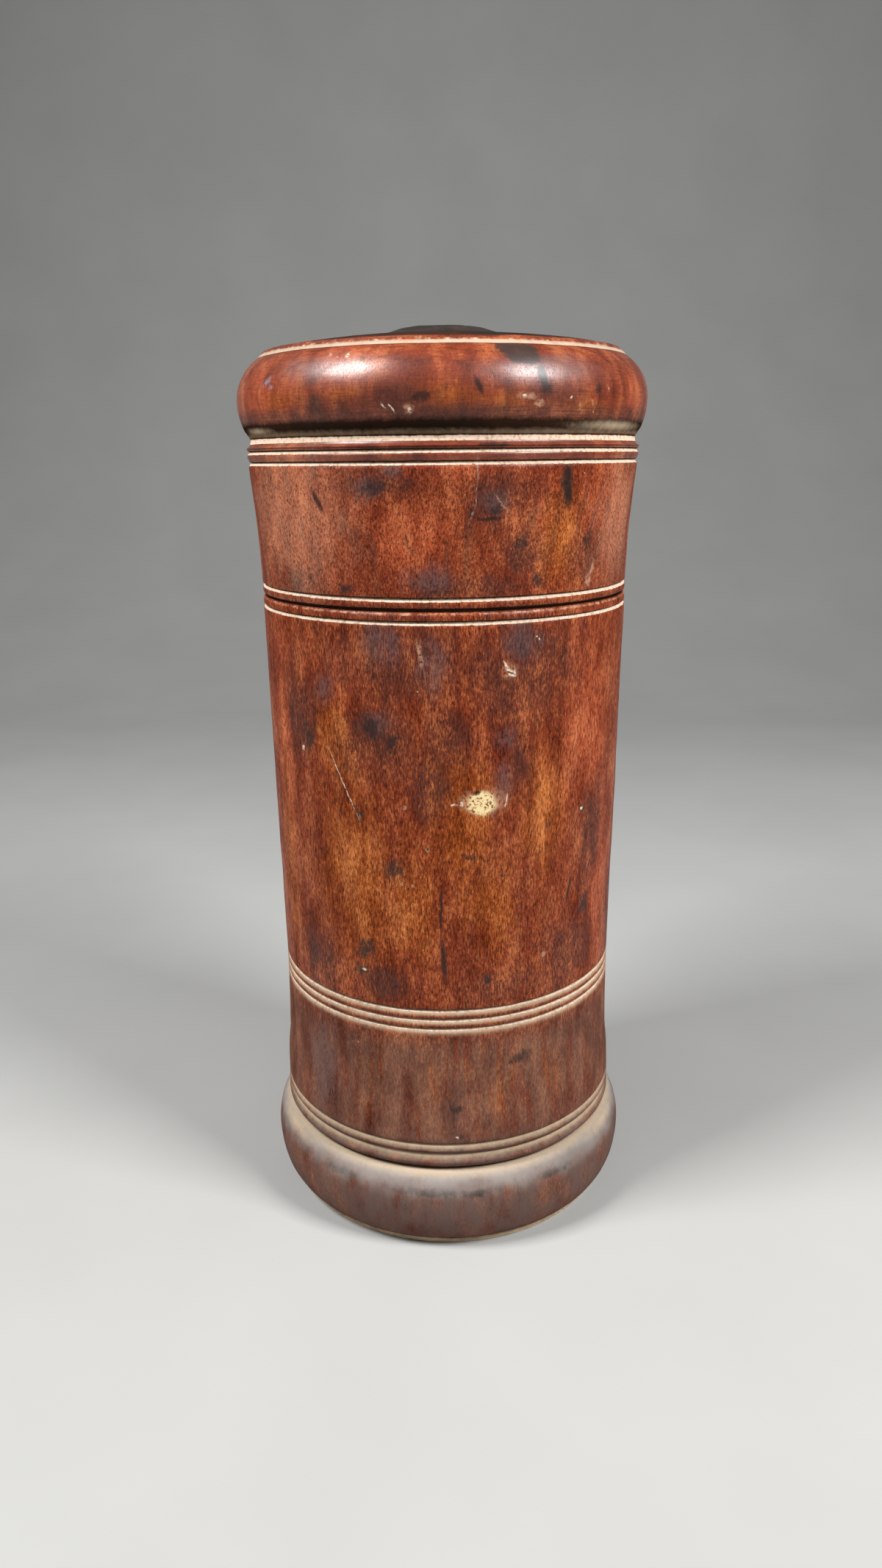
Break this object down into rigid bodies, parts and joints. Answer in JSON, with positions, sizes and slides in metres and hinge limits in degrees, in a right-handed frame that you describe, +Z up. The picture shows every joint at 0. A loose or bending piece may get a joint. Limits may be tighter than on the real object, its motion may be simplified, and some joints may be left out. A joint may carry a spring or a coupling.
{
  "type": "turned wooden jar with lift-off lid",
  "caption": "Tall round turned-wood jar with grooved walls, a rounded foot and a deep push-on lid that lifts off a spigot.",
  "frame": {"origin": "centre of the flat base, on the surface that the jar stands on", "axes": "+Z up along the turning axis and the way the lid lifts; the jar is round, so +X and +Y are any two square directions"},
  "size_m": [0.1094, 0.1094, 0.2487],
  "materials": {
    "dark_turned_wood": "old waxed satin patina over dark red-brown hardwood, with cream residue in the grooves",
    "blackened_wood": "grimy, nearly black, dull",
    "pale_wood": "bare, dry and dusty"
  },
  "bodies": {
    "jar": {"jar_body": "dark_turned_wood", "base_disc": "pale_wood"},
    "lid": {"lid": "dark_turned_wood", "lid_button": "blackened_wood"}
  },
  "joints": [
    {"name": "lid_lift", "type": "slide", "parent": "jar", "child": "lid", "axis": [0, 0, 1], "range_m": [0, 0.12]}
  ]
}
